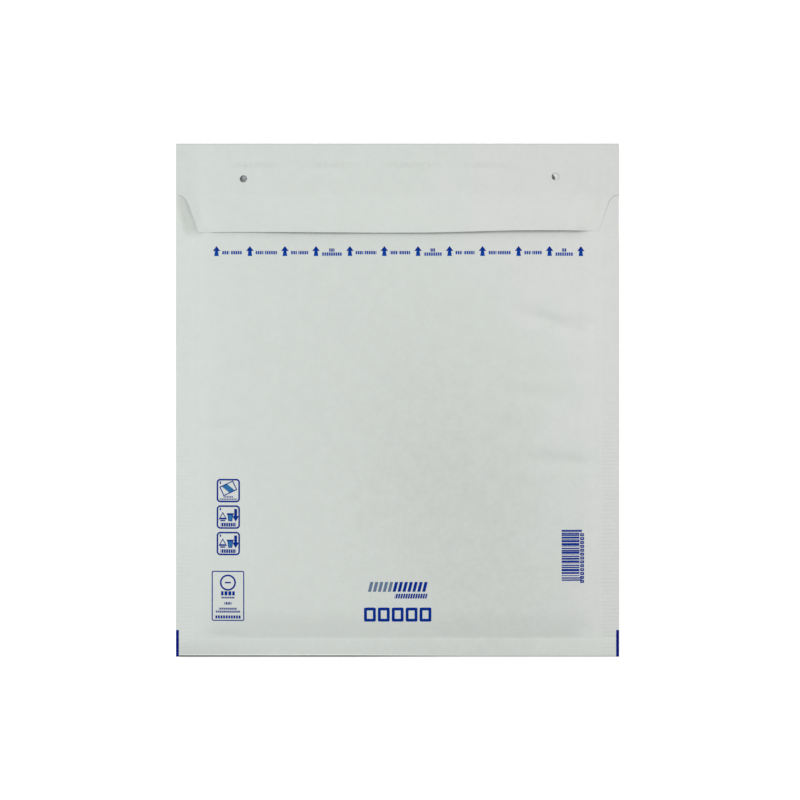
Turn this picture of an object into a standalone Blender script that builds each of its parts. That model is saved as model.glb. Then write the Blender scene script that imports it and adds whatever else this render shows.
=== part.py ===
"""A padded mailing envelope, lying on its back with its flap folded over the front.

One sheet of white paper is cut flat, punched and folded round a pocket of bubble film. The film
is sealed to itself and to the paper along both side seams. A band of adhesive under a release
strip sits inside the flap. Metres, +Z up, +Y towards the top fold, origin under the middle.
"""

import math

import bmesh
import bpy
import numpy as np
from mathutils import Vector

# The envelope as it measures closed
ENVELOPE_WIDTH = 0.240
ENVELOPE_HEIGHT = 0.278
PAPER_THICKNESS = 0.00013
CLEARANCE = 0.0003

# Seams and the padding between them
SIDE_SEAM = 0.010
BOTTOM_BAND = 0.0104
SIDE_SHOULDER = 0.022
BOTTOM_SHOULDER = 0.015
TOP_SHOULDER = 0.016
SEAM_HEIGHT = 0.0030
MOUTH_SETBACK = 0.006

# Bubble film
FILM_PLY = 0.0028
FILM_SEAL = 0.0003
FILM_TRIM = 0.0003
FILM_SETBACK = 0.003
POCKET_GAP = 0.0005
POCKET_MARGIN = 0.004

# Flap, with a rounded shoulder and a slanted side below the notch at each seam
FLAP_LENGTH = 0.0484
FLAP_BOW = 0.0018
FLAP_BRIDGE = 0.005
FLAP_CLEARANCE = 0.0004
FLAP_LIFT = 0.0016
LIFT_INSET = 0.0045
LIFT_RAMP = 0.024
NOTCH_START = 0.0279
NOTCH_LEAD = 0.001
NOTCH_RADIUS = 0.0055
NOTCH_SLANT = math.radians(19)

# Adhesive band and its release strip, both inside the flap
RELEASE_WIDTH = 0.018
RELEASE_INSET = 0.004
RELEASE_THICKNESS = 0.0001
RELEASE_EDGE = 0.0025
ADHESIVE_MARGIN = 0.002
ADHESIVE_THICKNESS = 0.0001

# Punched holes: the flap's, as (side, in from that side, below the top fold) of each centre, and
# how far the front panel's holes lie from them
HOLE_DIAMETER = 0.004
FLAP_HOLES = ((-1, 0.0360, 0.0189), (1, 0.0343, 0.0176))
FRONT_HOLE_SHIFT = (-0.0012, 0.0008)

# How finely the folded faces are stepped
SHOULDER_STEPS = 5
PANEL_STEPS = 5
FOLD_STEPS = 6
FLAP_STEPS = 4
STRIP_STEPS = 2
ARC_STEPS = 6
HOLE_SIDES = 16
CUT_MARGIN = 0.004
SLOPE_STEP = 1e-6

HALF_WIDTH = ENVELOPE_WIDTH / 2
TOP_Y = ENVELOPE_HEIGHT / 2
SEAM_X = HALF_WIDTH - SIDE_SEAM
BAND_Y = BOTTOM_BAND - TOP_Y
MOUTH_Y = TOP_Y - MOUTH_SETBACK
FLAP_END_Y = TOP_Y - FLAP_LENGTH

# A fold's outer radius leaves room for the sealed film between two papers
FOLD_RADIUS = FILM_SEAL / 2 + CLEARANCE + PAPER_THICKNESS
BODY_THICKNESS = 2 * (PAPER_THICKNESS + CLEARANCE + FILM_PLY) + POCKET_GAP
SEAM_TOP = SEAM_HEIGHT + FOLD_RADIUS
SEAM_BASE = SEAM_HEIGHT - FOLD_RADIUS
BOTTOM_FOLD_Y = FOLD_RADIUS - TOP_Y
TOP_FOLD_Y = TOP_Y - FOLD_RADIUS
TOP_PLATEAU_Y = TOP_FOLD_Y - TOP_SHOULDER
BOTTOM_PLATEAU_Y = BAND_Y + BOTTOM_SHOULDER

# The flap's cut: where the slant starts, and how far out its free corners reach
SHOULDER_TURN = math.pi / 2 - NOTCH_SLANT
SLANT_START = NOTCH_START + NOTCH_RADIUS * (1 - math.cos(SHOULDER_TURN))
SLANT_INWARD = NOTCH_LEAD + NOTCH_RADIUS * math.sin(SHOULDER_TURN)
CORNER_X = HALF_WIDTH - SLANT_INWARD - (FLAP_LENGTH - SLANT_START) * math.tan(NOTCH_SLANT)

# Where the two strips lie, and the room that they need under the flap
STRIP_MIDDLE_Y = FLAP_END_Y + RELEASE_EDGE + RELEASE_WIDTH / 2
STRIP_TOP_Y = STRIP_MIDDLE_Y + RELEASE_WIDTH / 2
STRIP_STACK = ADHESIVE_THICKNESS + RELEASE_THICKNESS + 3 * CLEARANCE + PAPER_THICKNESS
MOUTH_STACK = PAPER_THICKNESS + FLAP_CLEARANCE

# Distances along the flat sheet, from the front panel's mouth edge to the flap's free edge
FRONT_RUN = MOUTH_Y - BOTTOM_FOLD_Y
BACK_RUN = FRONT_RUN + math.pi * FOLD_RADIUS
TOP_RUN = BACK_RUN + TOP_FOLD_Y - BOTTOM_FOLD_Y
FLAP_RUN = TOP_RUN + math.pi * FOLD_RADIUS
SHEET_LENGTH = FLAP_RUN + TOP_FOLD_Y - FLAP_END_Y


def share(distance, length):
    """How far along length distance lies, from 0 to 1."""
    return min(1.0, max(0.0, distance / length))


def bulge(distance, length):
    """The rise of a filled skin beside a seam: steep at the seam, level at length from it."""
    return 1 - (1 - share(distance, length)) ** 2


def ease(distance, length):
    """A rise from 0 to 1 that starts and ends level."""
    part = share(distance, length)
    return part * part * (3 - 2 * part)


def padding(x, y, side_x=SEAM_X):
    """How full the envelope is at (x, y), from 0 at its seams to 1 over the padding."""
    side = bulge(side_x - abs(x), SIDE_SHOULDER)
    top = bulge(TOP_FOLD_Y - y, TOP_SHOULDER)
    return side * top


def body_fill(x, y):
    """The padding's fullness with the bottom band taken into account."""
    return padding(x, y) * bulge(y - BAND_Y, BOTTOM_SHOULDER)


def front_height(x, y):
    """Height of the front panel's outer face."""
    return SEAM_TOP + (BODY_THICKNESS - SEAM_TOP) * body_fill(x, y)


def back_height(x, y):
    """Height of the back panel's outer face, level with the table under the padding."""
    return SEAM_BASE * (1 - body_fill(x, y))


def flap_gap(x, y):
    """Height of the flap's outer face over a front panel that would run on to the top fold."""
    over_mouth = MOUTH_STACK * ease(TOP_FOLD_Y - y, MOUTH_SETBACK - FOLD_RADIUS)
    over_strips = (STRIP_STACK - MOUTH_STACK) * ease(MOUTH_Y - y, MOUTH_Y - STRIP_TOP_Y)
    free_edge = ease(STRIP_TOP_Y - y, STRIP_TOP_Y - FLAP_END_Y)
    between_corners = ease(CORNER_X - LIFT_INSET - abs(x), LIFT_RAMP)
    return over_mouth + over_strips + FLAP_LIFT * free_edge * between_corners


def flap_height(x, y):
    """Height of the flap's outer face, which bridges the hollow beside each side seam."""
    rise = (BODY_THICKNESS - SEAM_TOP) * padding(x, y, SEAM_X + FLAP_BRIDGE)
    return SEAM_TOP + rise + flap_gap(x, y)


def fold_point(x, turn, fold_y, side):
    """A point of a half-round fold, side -1 at the bottom and 1 at the top."""
    out = FOLD_RADIUS * math.sin(turn)
    up = FOLD_RADIUS * math.cos(turn)
    return np.array((x, fold_y + side * out, SEAM_HEIGHT - side * up))


def on_sheet(x, run):
    """Where the outer face of the sheet at (x, run) lies once the sheet is folded."""
    if run <= FRONT_RUN:
        y = MOUTH_Y - run
        return np.array((x, y, front_height(x, y)))
    if run < BACK_RUN:
        return fold_point(x, (run - FRONT_RUN) / FOLD_RADIUS, BOTTOM_FOLD_Y, -1)
    if run <= TOP_RUN:
        y = BOTTOM_FOLD_Y + run - BACK_RUN
        return np.array((x, y, back_height(x, y)))
    if run < FLAP_RUN:
        return fold_point(x, (run - TOP_RUN) / FOLD_RADIUS, TOP_FOLD_Y, 1)
    y = TOP_FOLD_Y - (run - FLAP_RUN)
    return np.array((x, y, flap_height(x, y)))


def folded(flat):
    """Moves a point of the flat sheet, outer face up and mouth edge at y 0, to its folded place."""
    x, run = flat.x, -flat.y
    across = on_sheet(x + SLOPE_STEP, run) - on_sheet(x - SLOPE_STEP, run)
    along = on_sheet(x, run - SLOPE_STEP) - on_sheet(x, run + SLOPE_STEP)
    normal = np.cross(across, along)
    normal /= np.linalg.norm(normal)
    return Vector(on_sheet(x, run) + normal * flat.z)


def evenly(first, last, steps):
    """steps + 1 places from first to last."""
    return [first + (last - first) * i / steps for i in range(steps + 1)]


def joined(*stretches):
    """Stretches of places, end to end, with each shared end once."""
    places = list(stretches[0])
    for stretch in stretches[1:]:
        places += stretch[1:]
    return places


def padding_columns(outer):
    """Places across the envelope, from one outer edge to the other."""
    plateau = SEAM_X - SIDE_SHOULDER
    edge = [outer, *evenly(SEAM_X, plateau, SHOULDER_STEPS)]
    return joined(
        [-x for x in edge],
        evenly(-plateau, plateau, PANEL_STEPS),
        edge[::-1],
    )


def padding_rows(top):
    """Places up the padding, from the bottom band to top."""
    return joined(
        evenly(BAND_Y, BOTTOM_PLATEAU_Y, SHOULDER_STEPS),
        evenly(BOTTOM_PLATEAU_Y, TOP_PLATEAU_Y, PANEL_STEPS),
        evenly(TOP_PLATEAU_Y, top, SHOULDER_STEPS),
    )


def sheet_rows():
    """Distances along the flat sheet, closer together where it bends."""
    front = [MOUTH_Y - y for y in reversed(padding_rows(MOUTH_Y))]
    back = [BACK_RUN + y - BOTTOM_FOLD_Y for y in padding_rows(TOP_FOLD_Y)]
    flap = joined(
        evenly(TOP_FOLD_Y, TOP_PLATEAU_Y, SHOULDER_STEPS),
        evenly(TOP_PLATEAU_Y, STRIP_TOP_Y, FLAP_STEPS // 2),
        evenly(STRIP_TOP_Y, FLAP_END_Y, FLAP_STEPS),
    )
    return joined(
        front,
        [front[-1], FRONT_RUN],
        evenly(FRONT_RUN, BACK_RUN, FOLD_STEPS),
        [BACK_RUN, back[0]],
        back,
        evenly(TOP_RUN, FLAP_RUN, FOLD_STEPS),
        [FLAP_RUN + TOP_FOLD_Y - y for y in flap],
    )


def station_grid(columns, rows):
    """A level grid of quads with its lines at the given places."""
    grid = bmesh.new()
    across, along = len(columns) - 1, len(rows) - 1
    bmesh.ops.create_grid(grid, x_segments=across, y_segments=along, size=0.5)
    for vert in grid.verts:
        column = round((vert.co.x + 0.5) * across)
        row = round((vert.co.y + 0.5) * along)
        vert.co = Vector((columns[column], rows[row], 0))
    return grid


def split_quads(grid, plan):
    """Cuts each quad from the corner nearest the envelope's middle, as all its layers are cut."""
    for face in list(grid.faces):
        near = min(face.verts, key=lambda vert: plan(vert.co).length)
        corners = list(face.verts)
        far = corners[(corners.index(near) + 2) % 4]
        bmesh.utils.face_split(face, near, far)


def new_object(name, mesh, collection):
    """An object made from a mesh or a bmesh."""
    if isinstance(mesh, bmesh.types.BMesh):
        data = bpy.data.meshes.new(name)
        mesh.to_mesh(data)
        mesh.free()
        mesh = data
    made = bpy.data.objects.new(name, mesh)
    collection.objects.link(made)
    return made


def new_cutter(name, mesh, collection):
    """An object that only cuts others."""
    cutter = new_object(name, mesh, collection)
    cutter.hide_render = True
    cutter.display_type = "WIRE"
    return cutter


def cut(target, cutter):
    """Takes cutter's shape out of target."""
    modifier = target.modifiers.new(cutter.name, "BOOLEAN")
    modifier.operation = "DIFFERENCE"
    modifier.solver = "EXACT"
    modifier.object = cutter


def evaluated_mesh(target):
    """A plain mesh of target with its modifiers applied."""
    bpy.context.view_layer.update()
    graph = bpy.context.evaluated_depsgraph_get()
    return bpy.data.meshes.new_from_object(target.evaluated_get(graph))


def finish_mesh(target, shade_angle=math.radians(25)):
    """Shades target's gentle slopes smooth and keeps its edges crisp."""
    target.data.shade_smooth()
    target.data.set_sharp_from_angle(angle=shade_angle)


def notch_points(side):
    """The waste beside the flap: a rounded shoulder, then a slant to past the free edge."""
    start = FLAP_RUN + NOTCH_START - FOLD_RADIUS
    end = SHEET_LENGTH + CUT_MARGIN
    points = [(HALF_WIDTH + CUT_MARGIN, start)]
    for turn in evenly(0, SHOULDER_TURN, ARC_STEPS):
        inward = NOTCH_LEAD + NOTCH_RADIUS * math.sin(turn)
        along = NOTCH_RADIUS * (1 - math.cos(turn))
        points.append((HALF_WIDTH - inward, start + along))
    last_x, last_run = points[-1]
    points.append((last_x - (end - last_run) * math.tan(NOTCH_SLANT), end))
    points.append((HALF_WIDTH + CUT_MARGIN, end))
    return [(side * x, -run) for x, run in points]


def outline_prism(name, points, half_height, collection):
    """A flat outline, filled and given thickness, as a cutter."""
    curve = bpy.data.curves.new(name, "CURVE")
    curve.dimensions = "2D"
    curve.fill_mode = "BOTH"
    curve.extrude = half_height
    spline = curve.splines.new("POLY")
    spline.points.add(len(points) - 1)
    for point, (x, y) in zip(spline.points, points, strict=True):
        point.co = (x, y, 0, 1)
    spline.use_cyclic_u = True
    drawn = bpy.data.objects.new(name, curve)
    collection.objects.link(drawn)
    solid = bmesh.new()
    solid.from_mesh(evaluated_mesh(drawn))
    bpy.data.objects.remove(drawn)
    bmesh.ops.remove_doubles(solid, verts=solid.verts, dist=1e-6)
    bmesh.ops.recalc_face_normals(solid, faces=solid.faces)
    return new_cutter(name, solid, collection)


def punch(name, x, run, collection):
    """A round punch through the flat sheet."""
    solid = bmesh.new()
    bmesh.ops.create_cone(
        solid,
        cap_ends=True,
        segments=HOLE_SIDES,
        radius1=HOLE_DIAMETER / 2,
        radius2=HOLE_DIAMETER / 2,
        depth=2 * CUT_MARGIN,
    )
    bmesh.ops.translate(solid, verts=solid.verts, vec=(x, -run, 0))
    return new_cutter(name, solid, collection)


def paper_cover(parts, cutters):
    """The paper: a flat sheet with its flap cut and four holes punched, then folded."""
    columns = [-HALF_WIDTH, *padding_columns(SEAM_X + FLAP_BRIDGE), HALF_WIDTH]
    rows = [-run for run in sheet_rows()]
    flat = station_grid(columns, rows)
    for vert in flat.verts:
        if math.isclose(vert.co.y, -SHEET_LENGTH, abs_tol=SLOPE_STEP):
            vert.co.y += FLAP_BOW * (vert.co.x / HALF_WIDTH) ** 2
    split_quads(flat, lambda place: Vector(on_sheet(place.x, -place.y)).xy)
    bmesh.ops.reverse_faces(flat, faces=flat.faces)
    sheet = new_object("flat_sheet", flat, cutters)
    thick = sheet.modifiers.new("paper", "SOLIDIFY")
    thick.thickness = PAPER_THICKNESS
    thick.offset = -1
    for side in (-1, 1):
        cut(sheet, outline_prism("notch", notch_points(side), CUT_MARGIN, cutters))
    shift_x, shift_y = FRONT_HOLE_SHIFT
    for side, inward, below in FLAP_HOLES:
        x = side * (HALF_WIDTH - inward)
        cut(sheet, punch("flap_punch", x, FLAP_RUN + below - FOLD_RADIUS, cutters))
        cut(sheet, punch("front_punch", x + shift_x, below - shift_y - MOUTH_SETBACK, cutters))
    solid = bmesh.new()
    solid.from_mesh(evaluated_mesh(sheet))
    bpy.data.objects.remove(sheet)
    bmesh.ops.triangulate(solid, faces=[f for f in solid.faces if len(f.verts) > 3])
    for vert in solid.verts:
        vert.co = folded(vert.co)
    made = new_object("paper_cover", solid, parts)
    finish_mesh(made)
    return made


def layer(columns, rows, top, bottom):
    """A closed layer between two heights over a grid of places."""
    solid = station_grid(columns, rows)
    split_quads(solid, lambda place: place.xy)
    upper = bmesh.ops.extrude_face_region(solid, geom=solid.faces)["geom"]
    raised = {item for item in upper if isinstance(item, bmesh.types.BMVert)}
    for vert in solid.verts:
        height = top if vert in raised else bottom
        vert.co.z = height(vert.co.x, vert.co.y)
    bmesh.ops.recalc_face_normals(solid, faces=solid.faces)
    return solid


def film_top(x, y):
    """The film's face towards the front panel."""
    return front_height(x, y) - PAPER_THICKNESS - CLEARANCE


def film_base(x, y):
    """The film's face towards the back panel."""
    return back_height(x, y) + PAPER_THICKNESS + CLEARANCE


def pocket_face(side):
    """One wall of the pocket, midway through the film."""
    return lambda x, y: (film_top(x, y) + film_base(x, y)) / 2 + side * POCKET_GAP / 2


def bubble_liner(parts, cutters):
    """The film pocket: two plies, welded flat at the sides, with the pocket open at the mouth."""
    film_end = MOUTH_Y - FILM_SETBACK
    columns = padding_columns(HALF_WIDTH - FILM_TRIM)
    film = layer(columns, padding_rows(film_end), film_top, film_base)
    liner = new_object("bubble_liner", film, parts)
    plateau = SEAM_X - SIDE_SHOULDER
    inner = joined(
        evenly(POCKET_MARGIN - SEAM_X, -plateau, SHOULDER_STEPS - 1),
        evenly(-plateau, plateau, PANEL_STEPS),
        evenly(plateau, SEAM_X - POCKET_MARGIN, SHOULDER_STEPS - 1),
    )
    up = joined(
        evenly(BAND_Y + POCKET_MARGIN, BOTTOM_PLATEAU_Y, SHOULDER_STEPS - 1),
        evenly(BOTTOM_PLATEAU_Y, TOP_PLATEAU_Y, PANEL_STEPS),
        evenly(TOP_PLATEAU_Y, film_end + FILM_SETBACK, SHOULDER_STEPS),
    )
    room = layer(inner, up, pocket_face(1), pocket_face(-1))
    cut(liner, new_cutter("pocket", room, cutters))
    finish_mesh(liner)
    return liner


def strip(name, inset, width, depth, thickness, parts):
    """A strip inside the flap, depth below its outer face and inset from its free corners."""
    end = CORNER_X - inset
    columns = evenly(-end, end, 2 * (PANEL_STEPS + SHOULDER_STEPS))
    rows = evenly(STRIP_MIDDLE_Y - width / 2, STRIP_MIDDLE_Y + width / 2, STRIP_STEPS)
    solid = layer(
        columns,
        rows,
        lambda x, y: flap_height(x, y) - depth,
        lambda x, y: flap_height(x, y) - depth - thickness,
    )
    made = new_object(name, solid, parts)
    finish_mesh(made)
    return made


def material(name, colour, roughness, alpha=1.0):
    """A plain finish."""
    made = bpy.data.materials.new(name)
    made.use_nodes = True
    shader = made.node_tree.nodes["Principled BSDF"]
    shader.inputs["Base Color"].default_value = (*colour, 1)
    shader.inputs["Roughness"].default_value = roughness
    shader.inputs["Metallic"].default_value = 0
    shader.inputs["Alpha"].default_value = alpha
    return made


def new_collection(name):
    """A collection in the scene."""
    made = bpy.data.collections.new(name)
    bpy.context.scene.collection.children.link(made)
    return made


def build():
    """Makes the four pieces, from the outside in."""
    for old in list(bpy.data.objects):
        bpy.data.objects.remove(old)
    parts = new_collection("padded_envelope")
    cutters = new_collection("cutters")
    cover = paper_cover(parts, cutters)
    cover.data.materials.append(material("white_paper", (0.655, 0.687, 0.658), 0.72))
    liner = bubble_liner(parts, cutters)
    liner.data.materials.append(material("bubble_film", (0.78, 0.82, 0.84), 0.25))
    inset, width = RELEASE_INSET + ADHESIVE_MARGIN, RELEASE_WIDTH - 2 * ADHESIVE_MARGIN
    depth = PAPER_THICKNESS + CLEARANCE
    adhesive = strip("adhesive_band", inset, width, depth, ADHESIVE_THICKNESS, parts)
    adhesive.data.materials.append(material("adhesive", (0.74, 0.71, 0.60), 0.35))
    depth += ADHESIVE_THICKNESS + CLEARANCE
    inset, width = RELEASE_INSET, RELEASE_WIDTH
    release = strip("release_strip", inset, width, depth, RELEASE_THICKNESS, parts)
    release.data.materials.append(material("release_paper", (0.72, 0.74, 0.70), 0.45))


build()
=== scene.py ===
import functools
import math

import bpy
import numpy as np
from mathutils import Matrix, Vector


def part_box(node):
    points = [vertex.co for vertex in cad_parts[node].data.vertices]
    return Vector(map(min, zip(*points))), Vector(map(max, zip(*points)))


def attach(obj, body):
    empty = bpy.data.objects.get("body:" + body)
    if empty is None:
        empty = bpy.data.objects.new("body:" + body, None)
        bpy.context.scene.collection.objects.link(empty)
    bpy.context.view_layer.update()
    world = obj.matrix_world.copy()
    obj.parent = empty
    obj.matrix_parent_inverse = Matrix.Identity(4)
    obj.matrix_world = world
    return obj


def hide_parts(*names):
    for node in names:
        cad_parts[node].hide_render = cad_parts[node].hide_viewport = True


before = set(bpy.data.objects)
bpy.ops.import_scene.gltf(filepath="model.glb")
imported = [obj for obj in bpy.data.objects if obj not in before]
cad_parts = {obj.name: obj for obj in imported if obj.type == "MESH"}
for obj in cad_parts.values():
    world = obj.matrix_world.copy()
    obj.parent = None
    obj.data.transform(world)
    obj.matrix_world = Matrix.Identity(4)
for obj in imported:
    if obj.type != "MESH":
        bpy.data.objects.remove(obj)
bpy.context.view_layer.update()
bpy.ops.object.select_all(action="DESELECT")

# Paper cover: one sheet of white kraft paper, which is front panel, back panel and flap. It is cut
# flat with a notch beside each end of the flap, punched for a clasp, folded at the bottom and at
# the top, and heat sealed to the bubble film down both sides.
MM = 0.001
HALF_WIDTH, CAD_TOP_Y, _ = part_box("paper_cover")[1]
PAST_CAD = 0.07 * MM
TOP_Y = CAD_TOP_Y + PAST_CAD
PAPER, AIR = 0.13 * MM, 0.3 * MM
SIDE_SEAM, BOTTOM_BAND, MOUTH_SETBACK = 10 * MM, 10.3 * MM, 6 * MM
SIDE_SHOULDER, BOTTOM_SHOULDER, TOP_SHOULDER = 24 * MM, 14 * MM, 20 * MM
SEAM_Z, FOLD_RADIUS = 3 * MM, 0.58 * MM
SEAM_SAG, SAG_EASE = 0.12 * MM, 12 * MM
PLATEAU_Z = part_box("bubble_liner")[1].z + AIR + PAPER
SEAM_TOP, SEAM_BASE = SEAM_Z + FOLD_RADIUS, SEAM_Z - FOLD_RADIUS
TOP_FOLD_Y, BOTTOM_FOLD_Y = TOP_Y - FOLD_RADIUS, FOLD_RADIUS - TOP_Y
BAND_Y = BOTTOM_BAND - TOP_Y
MOUTH_Y = TOP_Y - MOUTH_SETBACK

# The flap touches the front panel along its slanted sides and at its free corners. Between them
# it spans the hollow beside each seam and lies over its release strip, and its free edge stands
# off the panel, more to the right than to the left. It follows a share of the seams' sag.
FLAP_LENGTH = 48.8 * MM
FLAP_END_Y = TOP_Y - FLAP_LENGTH
STRIP_TOP_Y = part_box("release_strip")[1].y
OVER_PANEL, OVER_STRIPS, FLAP_LIFT = 0.17 * MM, 0.45 * MM, 1.7 * MM
FLAP_SIDE_RISE, FLAP_TOP_RISE, TOP_EASE = 30 * MM, 30 * MM, 5.4 * MM
FREE_ABOVE_STRIP = 4 * MM
FLAP_SAG = 0.6

# Its slants, for its height, are lines that start above the notches and come in as they go down.
# Each rise starts at a distance from them, or from the free edge, and has a length of its own.
NOTCH_BELOW, SLANT, SLANT_START = 27.8 * MM, 0.355, 12 * MM
SPAN_START, SPAN_RISE = 3 * MM, 16 * MM
STRIP_START, STRIP_RISE = 0.8 * MM, 6 * MM
CORNER_START, CORNER_RISE = 6 * MM, 6 * MM
END_START, END_RISE = 0.5 * MM, 2.3 * MM
LIFT_START, LEFT_LIFT_RISE, RIGHT_LIFT_RISE = 3.5 * MM, 74 * MM, 12.5 * MM

# Distances along the flat sheet, from the front panel's mouth edge to the flap's free edge
FRONT_RUN = MOUTH_Y - BOTTOM_FOLD_Y
BACK_RUN = FRONT_RUN + math.pi * FOLD_RADIUS
TOP_RUN = BACK_RUN + TOP_FOLD_Y - BOTTOM_FOLD_Y
FLAP_RUN = TOP_RUN + math.pi * FOLD_RADIUS
SHEET_LENGTH = FLAP_RUN + TOP_FOLD_Y - FLAP_END_Y

# Handling marks, in millimetres. A crease has two ends, a half width and a depth; a hollow has a
# middle, two half sizes and a depth, and a negative depth is a swelling. A wave has its half
# lengths across and along, and where it starts.
FRONT_CREASES = (
    (50, 52, 112, 33, 3.8, 1.9),
    (88, 45, 114, 39.5, 1.3, 0.7),
    (92, 29, 112, 27, 1.4, 0.4),
    (46, 6, 98, -1, 5.0, 0.9),
    (56, -30, 110, -36, 4.0, 1.6),
    (86, -31, 112, -37, 1.6, 0.35),
    (40, -8, 84, -20, 6.0, 0.7),
    (78, -66, 110, -73, 2.6, 0.6),
    (86, -98, 110, -106, 2.4, 0.5),
    (94, -120, 112, -129, 3.2, 0.9),
    (-110, -18, -82, -13, 2.4, 0.45),
    (-114, -127, -82, -127.2, 1.3, 0.5),
)
BACK_CREASES = (
    (-108, 36, -60, 46, 4.5, 0.28),
    (-108, -58, -72, -50, 4.0, 0.30),
    (70, 88, 108, 80, 3.6, 0.20),
    (86, -18, 109, -12, 2.6, 0.15),
    (-110, 108, -92, 118, 3.0, 0.16),
)
SEAM_CREASES = (
    (-118, 118, -107.4, 84, 4.4, 2.1),
    (122, 122, 122, 84, 7.0, 1.5),
    (-121, 20, -112, -6, 5.0, 0.25),
    (121, -20, 113, -52, 6.0, 0.3),
)
FRONT_HOLLOWS = (
    (58, -55, 46, 62, 0.5),
    (-20, 10, 70, 60, -0.25),
    (40, 62, 60, 34, -0.3),
)
FLAP_HOLLOWS = (
    (-57, 94, 16, 14, -0.3),
    (-12, 94, 22, 14, 0.45),
    (70, 94, 26, 16, -0.7),
)
WAVES = ((37, 21, 0.4), (-29, 43, 1.7), (61, -34, 3.1), (17, 53, 4.4))
WAVE_DEPTH, BUBBLE_DEPTH = 0.035, 0.03


def share(distance, length):
    """How far along length each distance lies, from 0 to 1."""
    return np.clip(distance / length, 0, 1)


def bulge(distance, length, steepness=2.0):
    """The rise of a filled skin beside a seam: steep at the seam, level at length from it."""
    return 1 - (1 - share(distance, length)) ** steepness


def ease(distance, length):
    """A rise from 0 to 1 that starts and ends level."""
    part = share(distance, length)
    return part * part * (3 - 2 * part)


def fullness(x, y):
    """How full the envelope is, from 0 at its seams and its band to 1 over the padding."""
    side = bulge(HALF_WIDTH - SIDE_SEAM - abs(x), SIDE_SHOULDER)
    top = bulge(TOP_FOLD_Y - y, TOP_SHOULDER)
    return side * top * bulge(y - BAND_Y, BOTTOM_SHOULDER, steepness=1.4)


def bubble(x, y, pitch=11 * MM, radius=4.9 * MM):
    """How near the middle of a bubble each point lies, in staggered rows, from 0 to 1."""
    row_pitch = pitch * math.sqrt(3)
    nearest = np.full_like(x, pitch)
    for stagger in (0, 0.5):
        across = ((x / pitch + stagger) % 1 - 0.5) * pitch
        along = ((y / row_pitch + stagger) % 1 - 0.5) * row_pitch
        nearest = np.minimum(nearest, np.hypot(across, along))
    return 1 - share(nearest, radius) ** 2


def relief(x, y, creases=(), hollows=()):
    """How far creases, hollows, waves and the bubbles beneath lower a sheet of paper."""
    x, y = x / MM, y / MM
    depth = np.zeros_like(x)
    for x0, y0, x1, y1, half_width, deep in creases:
        length = math.hypot(x1 - x0, y1 - y0)
        right, up = (x1 - x0) / length, (y1 - y0) / length
        along = (x - x0) * right + (y - y0) * up
        across = (y - y0) * right - (x - x0) * up
        fade = ease(along, length / 2) * ease(length - along, length / 4)
        depth += deep * fade * np.exp(-((across / half_width) ** 2))
    for x0, y0, half_x, half_y, deep in hollows:
        depth += deep * np.exp(-(((x - x0) / half_x) ** 2) - ((y - y0) / half_y) ** 2)
    for wave_x, wave_y, start in WAVES:
        depth += WAVE_DEPTH * np.sin(math.pi * (x / wave_x + y / wave_y) + start)
    return (depth - BUBBLE_DEPTH * bubble(x * MM, y * MM) ** 2) * MM


def seam_sag(x, y):
    """How far the sealed edges sink towards the table between the two folds."""
    between_folds = ease(TOP_FOLD_Y - y, SAG_EASE) * ease(y - BOTTOM_FOLD_Y, SAG_EASE)
    return (relief(x, y, SEAM_CREASES) + SEAM_SAG) * between_folds * (1 - fullness(x, y))


def front_height(x, y):
    """Height of the front panel's outer face."""
    full = fullness(x, y)
    dents = relief(x, y, FRONT_CREASES, FRONT_HOLLOWS) * np.sqrt(full)
    return SEAM_TOP + (PLATEAU_Z - SEAM_TOP) * full - dents - seam_sag(x, y)


def back_height(x, y):
    """Height of the back panel's outer face, which lies on the table."""
    full = fullness(x, y)
    dents = np.maximum(relief(x, y, BACK_CREASES), 0)
    return SEAM_BASE * (1 - full) + dents * full - seam_sag(x, y)


def flap_height(x, y):
    """Height of the flap's outer face."""
    undented = SEAM_TOP + (PLATEAU_Z - SEAM_TOP) * fullness(x, y)
    panel = np.maximum(front_height(x, y), undented - FLAP_SAG * seam_sag(x, y))
    rise = ease(HALF_WIDTH - abs(x), FLAP_SIDE_RISE) * ease(TOP_Y - y, FLAP_TOP_RISE)
    spanned = np.maximum(SEAM_TOP + (PLATEAU_Z - SEAM_TOP) * rise - panel, 0)
    over_panel = OVER_PANEL * ease(TOP_FOLD_Y - y, TOP_EASE)
    over_strips = OVER_STRIPS * ease(MOUTH_Y - y, MOUTH_Y - STRIP_TOP_Y)
    free_from = STRIP_TOP_Y + FREE_ABOVE_STRIP
    free = ease(free_from - y, free_from - FLAP_END_Y)
    cut_in = np.maximum(TOP_Y - NOTCH_BELOW + SLANT_START - y, 0) * SLANT
    from_slant = HALF_WIDTH - cut_in - abs(x)
    above_end = ease(y - FLAP_END_Y - END_START, END_RISE)
    over_strips *= np.maximum(ease(from_slant - CORNER_START, CORNER_RISE), above_end)
    held_off = spanned * ease(from_slant - SPAN_START, SPAN_RISE)
    held_off += over_strips * ease(from_slant - STRIP_START, STRIP_RISE)
    lift = (FLAP_LIFT - relief(x, y, hollows=FLAP_HOLLOWS)) * free
    lift *= ease(from_slant - LIFT_START, np.where(x < 0, LEFT_LIFT_RISE, RIGHT_LIFT_RISE))
    return panel + over_panel + held_off + lift


def half_round(x, turn, fold_y, side, radius):
    """Points of a half-round fold, side -1 at the bottom and 1 at the top."""
    out = fold_y + side * radius * np.sin(turn)
    return np.stack((x, out, SEAM_Z - side * radius * np.cos(turn)), axis=1)


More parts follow.
